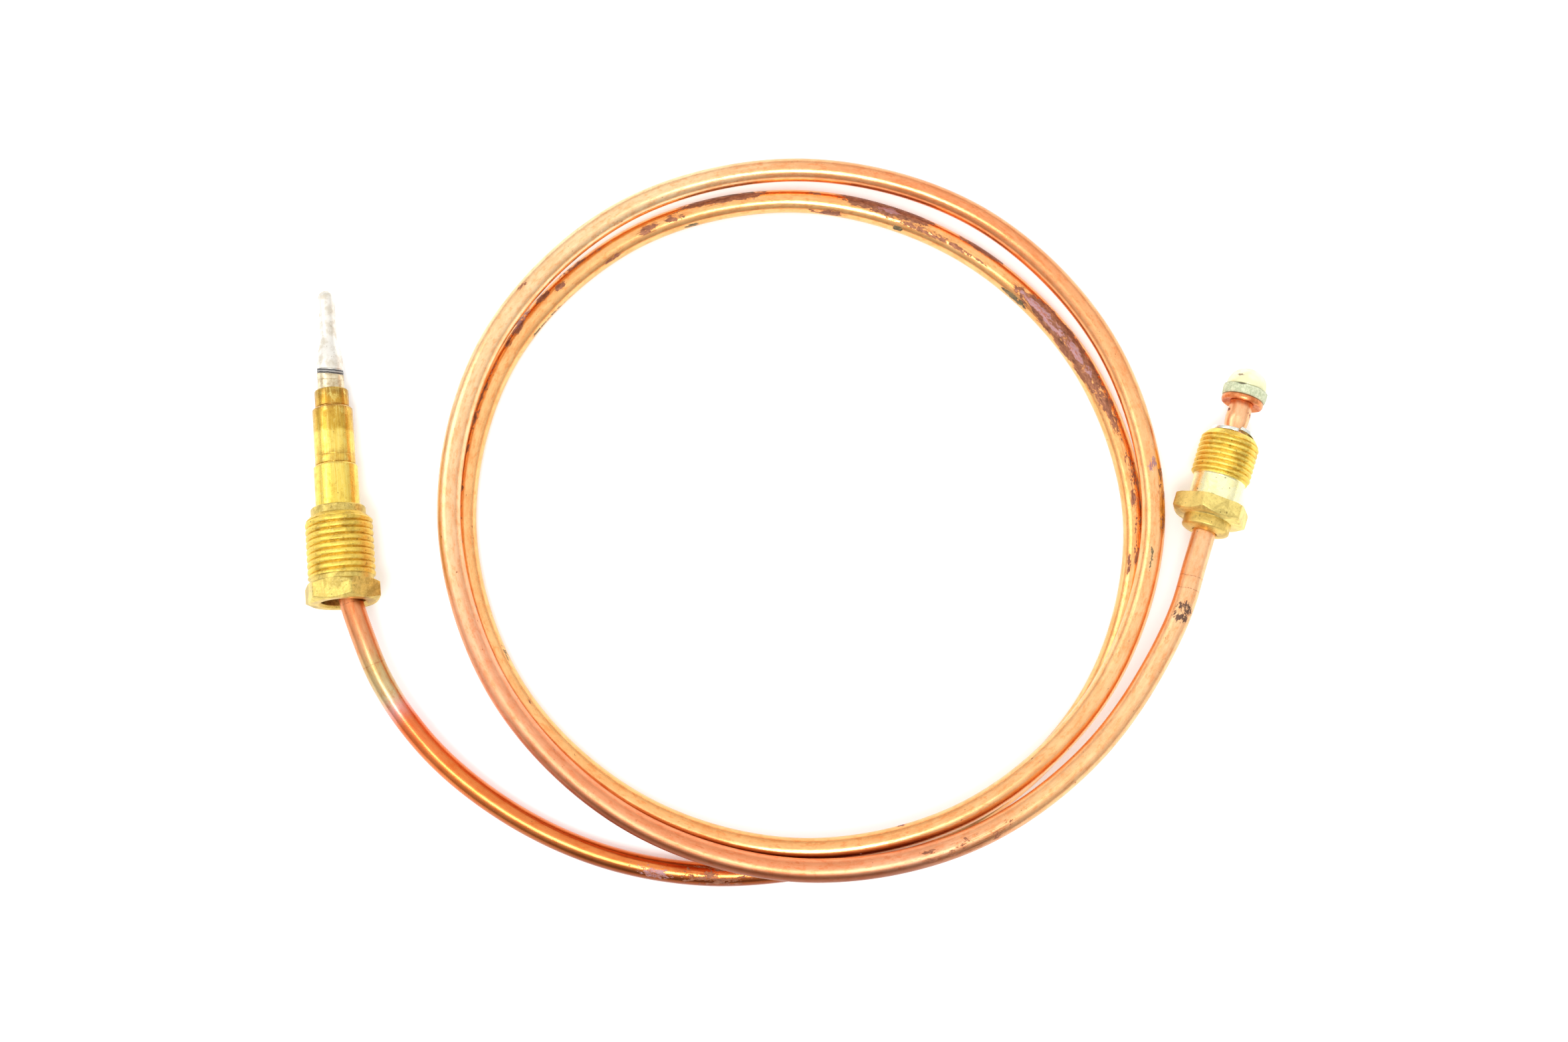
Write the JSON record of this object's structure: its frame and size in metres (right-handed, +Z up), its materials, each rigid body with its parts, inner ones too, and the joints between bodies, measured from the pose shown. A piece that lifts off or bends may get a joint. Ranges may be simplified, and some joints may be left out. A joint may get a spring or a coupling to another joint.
{
  "type": "thermocouple",
  "caption": "Gas-burner flame sensor: a slim metal probe in a stepped brass body with a loose threaded nut, on a coiled copper tube lead with a threaded connector nut and a domed end contact.",
  "frame": {"origin": "middle of the box round the whole object, on the surface that it lies on", "axes": "+Z up from the surface, through the coil; +X from the probe's side to the connector's side; +Y roughly the way that the hot tip and the contact button both point"},
  "size_m": [0.1418, 0.1076, 0.0114],
  "materials": {
    "lead_copper": "bright drawn copper with brown oxide patches",
    "body_brass": "polished brass, heat-tinted towards the flame",
    "nut_brass": "satin brass, slightly tarnished",
    "sheath_steel": "matte stainless steel",
    "spring_steel": "bright spring steel",
    "constantan": "plain drawn wire",
    "ceramic": "matte fired ceramic",
    "tinned_brass": "dull tin plating",
    "glass_fibre": "braided glass fibre",
    "insulating_fibre": "matte pressed fibre",
    "solder": "smooth bright solder"
  },
  "bodies": {
    "lead_assembly": {"hot_junction_sheath": "sheath_steel", "sheath_sleeve": "sheath_steel", "probe_body": "body_brass", "constantan_leg": "constantan", "probe_insulator": "ceramic", "cold_junction_splice": "tinned_brass", "lead_tube": "lead_copper", "lead_insulation": "glass_fibre", "lead_conductor": "lead_copper", "end_flange": "lead_copper", "insulating_washer": "insulating_fibre", "contact_button": "solder"},
    "probe_nut": {"probe_nut": "nut_brass"},
    "spring_washer": {"spring_washer": "spring_steel"},
    "connector_nut": {"connector_nut": "nut_brass"}
  },
  "joints": [
    {"name": "probe_nut_spin", "type": "hinge", "parent": "lead_assembly", "child": "probe_nut", "pos_m": [-0.06491, -0.01296, 0.00618], "axis": [-0.0953, 0.9897, -0.1066], "continuous": true},
    {"name": "connector_slide", "type": "slide", "parent": "lead_assembly", "child": "spring_washer", "axis": [0.3072, 0.9455, -0.108], "range_m": [-0.0025, 0.0037]},
    {"name": "connector_nut_spin", "type": "hinge", "parent": "spring_washer", "child": "connector_nut", "pos_m": [0.06078, -0.00256, 0.00586], "axis": [0.3072, 0.9455, -0.108], "continuous": true}
  ]
}
